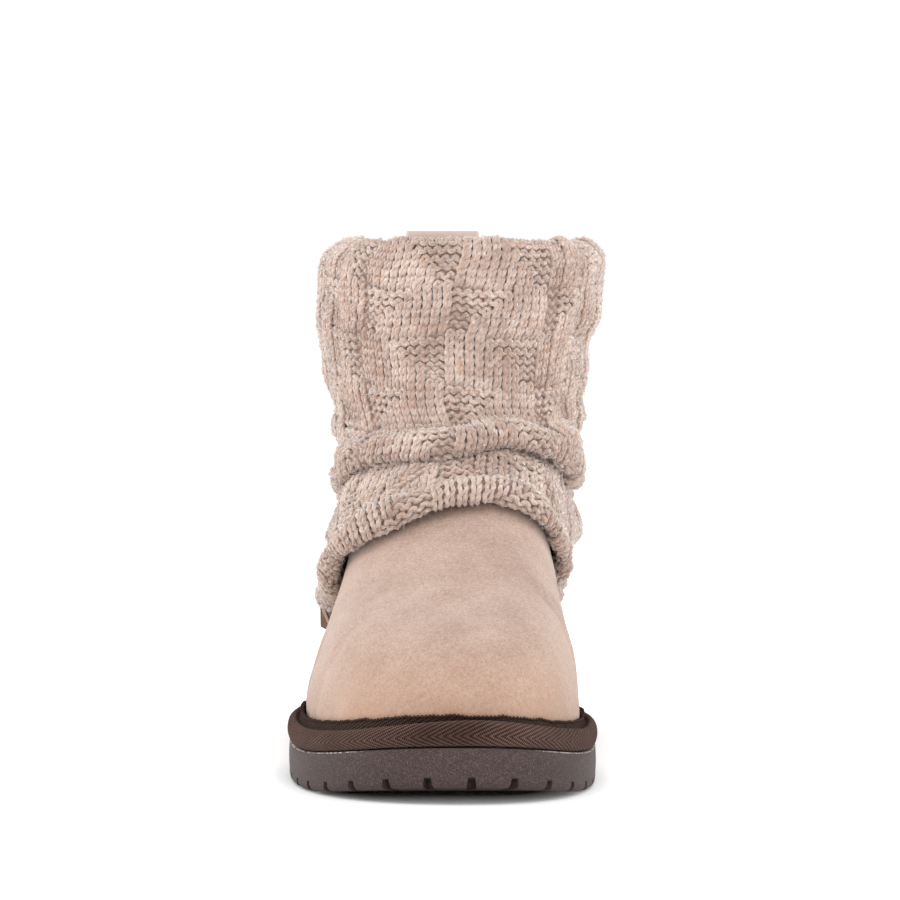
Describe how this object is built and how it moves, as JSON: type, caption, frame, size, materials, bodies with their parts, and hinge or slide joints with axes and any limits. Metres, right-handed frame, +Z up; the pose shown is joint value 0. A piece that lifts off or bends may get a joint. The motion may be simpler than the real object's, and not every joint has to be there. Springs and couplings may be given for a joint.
{
  "type": "boot",
  "caption": "Slip-on suede ankle boot with a chunky slouched knit cuff, woven base binding and a lugged foam sole.",
  "frame": {"origin": "on the floor under the middle of the boot's box", "axes": "+Z up; the toe points to -Y and the heel to +Y; +X is the inner, big toe side of this right boot"},
  "size_m": [0.1104, 0.2756, 0.1806],
  "materials": {
    "suede": "napped, matte",
    "suede_trim": "napped, matte",
    "wool_knit": "thick heathered wool yarn, fuzzy",
    "binding_tape": "herringbone woven tape, matte",
    "sole_foam": "matte, finely speckled foam rubber",
    "fleece": "short pile fleece",
    "tan_leather": "smooth, satin"
  },
  "bodies": {
    "root": {"outsole": "sole_foam", "sole_binding": "binding_tape", "insole": "fleece", "upper": "suede", "knit_cuff": "wool_knit", "pull_loop": "suede_trim", "hem_tab": "tan_leather"}
  },
  "joints": []
}
